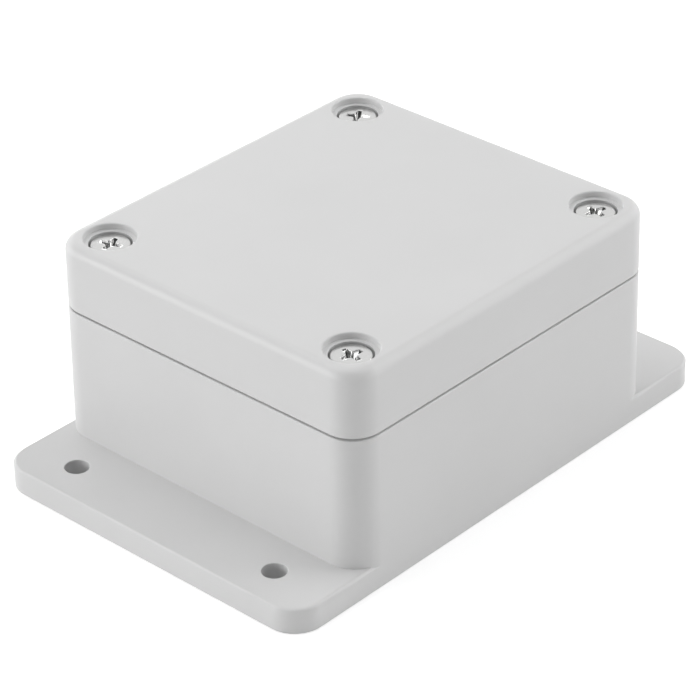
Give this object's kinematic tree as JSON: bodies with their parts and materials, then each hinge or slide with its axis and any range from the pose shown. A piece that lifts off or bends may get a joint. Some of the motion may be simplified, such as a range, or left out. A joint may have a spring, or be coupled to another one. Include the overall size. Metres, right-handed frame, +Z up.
{
  "type": "flanged plastic project box",
  "caption": "Small light-grey plastic enclosure with a mounting flange at each end and a deep screw-on lid sealed by a tongue, groove and gasket.",
  "frame": {"origin": "middle of the underside, where the base and its flanges rest", "axes": "+X from one flange to the other, +Y across the box, +Z up through the lid"},
  "size_m": [0.088, 0.058, 0.035],
  "materials": {
    "grey_plastic": "smooth satin",
    "seal_rubber": "matt",
    "insert_brass": "turned",
    "screw_steel": "bright plated"
  },
  "bodies": {
    "base": {"base": "grey_plastic", "insert_front": "insert_brass", "insert_left": "insert_brass", "insert_right": "insert_brass", "insert_back": "insert_brass"},
    "lid": {"lid": "grey_plastic", "gasket": "seal_rubber"},
    "lid_screw_front": {"lid_screw_front": "screw_steel"},
    "lid_screw_left": {"lid_screw_left": "screw_steel"},
    "lid_screw_right": {"lid_screw_right": "screw_steel"},
    "lid_screw_back": {"lid_screw_back": "screw_steel"}
  },
  "joints": [
    {"name": "lid_lift", "type": "slide", "parent": "base", "child": "lid", "axis": [0, 0, 1], "range_m": [0, 0.05]},
    {"name": "lid_screw_front_withdraw", "type": "slide", "parent": "lid", "child": "lid_screw_front", "axis": [0, 0, 1], "range_m": [0, 0.018]},
    {"name": "lid_screw_left_withdraw", "type": "slide", "parent": "lid", "child": "lid_screw_left", "axis": [0, 0, 1], "range_m": [0, 0.018]},
    {"name": "lid_screw_right_withdraw", "type": "slide", "parent": "lid", "child": "lid_screw_right", "axis": [0, 0, 1], "range_m": [0, 0.018]},
    {"name": "lid_screw_back_withdraw", "type": "slide", "parent": "lid", "child": "lid_screw_back", "axis": [0, 0, 1], "range_m": [0, 0.018]}
  ]
}
